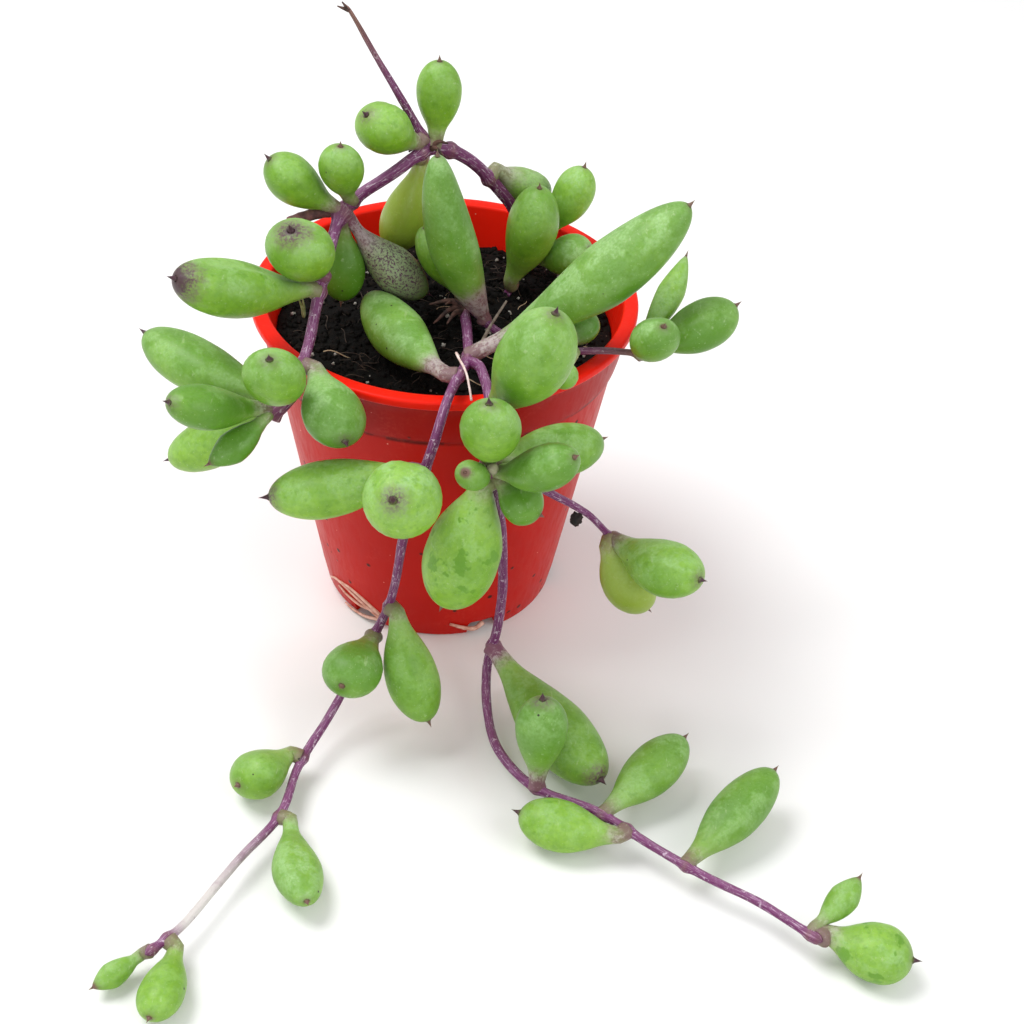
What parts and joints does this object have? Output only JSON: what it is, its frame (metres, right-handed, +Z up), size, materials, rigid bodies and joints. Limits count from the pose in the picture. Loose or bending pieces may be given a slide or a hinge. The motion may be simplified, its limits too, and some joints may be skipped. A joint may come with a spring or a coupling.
{
  "type": "potted trailing succulent",
  "caption": "Trailing succulent with plump pointed leaves on purple stems that arch and hang out of a small round nursery pot and lie along the surface below.",
  "frame": {"origin": "centre of the pot's underside, on the surface the pot stands on", "axes": "+Z up the pot's axis; the strands trail towards -Y, one to -X and one to +X"},
  "size_m": [0.1053, 0.1193, 0.0888],
  "materials": {
    "pot": "thin moulded red plastic, satin, lightly soiled",
    "soil": "damp dark peat with pale fibres and grit, matte",
    "stem": "smooth purple skin, scuffed paler in places",
    "dry_stem": "dry, brown and wrinkled",
    "leaf": "waxy green skin with a pale bloom and dark purple tips"
  },
  "bodies": {
    "root": {"pot": "pot", "soil": "soil", "arch_stem": "stem", "arch_leaf_1": "leaf", "arch_leaf_2": "leaf", "arch_leaf_3": "leaf", "arch_leaf_4": "leaf", "arch_leaf_5": "leaf", "arch_leaf_6": "leaf", "arch_leaf_7": "leaf", "arch_leaf_8": "leaf", "arch_leaf_9": "leaf", "arch_leaf_10": "leaf", "arch_leaf_11": "leaf", "arch_leaf_12": "leaf", "arch_leaf_13": "leaf", "arch_leaf_14": "leaf", "arch_leaf_15": "leaf", "arch_leaf_16": "leaf", "dry_stem": "dry_stem", "left_strand": "stem", "crown_leaf_1": "leaf", "crown_leaf_2": "leaf", "crown_leaf_3": "leaf", "left_strand_leaf_1": "leaf", "left_strand_leaf_2": "leaf", "left_strand_leaf_3": "leaf", "left_strand_leaf_4": "leaf", "left_strand_leaf_5": "leaf", "left_strand_leaf_6": "leaf", "left_strand_leaf_7": "leaf", "left_strand_leaf_8": "leaf", "right_shoot": "stem", "right_shoot_leaf_1": "leaf", "right_shoot_leaf_2": "leaf", "right_shoot_leaf_3": "leaf", "right_shoot_leaf_4": "leaf", "right_shoot_leaf_5": "leaf", "right_strand": "stem", "right_strand_leaf_1": "leaf", "right_strand_leaf_2": "leaf", "right_strand_leaf_3": "leaf", "right_strand_leaf_4": "leaf", "right_strand_leaf_5": "leaf", "right_strand_leaf_6": "leaf", "right_strand_leaf_7": "leaf", "right_strand_leaf_8": "leaf", "right_strand_leaf_9": "leaf", "right_strand_leaf_10": "leaf", "right_strand_leaf_11": "leaf", "right_strand_leaf_12": "leaf", "right_strand_leaf_13": "leaf", "right_strand_leaf_14": "leaf", "side_strand": "stem", "side_strand_leaf_1": "leaf", "side_strand_leaf_2": "leaf", "back_shoot": "stem", "back_shoot_leaf_1": "leaf", "back_shoot_leaf_2": "leaf", "back_shoot_leaf_3": "leaf"}
  },
  "joints": []
}
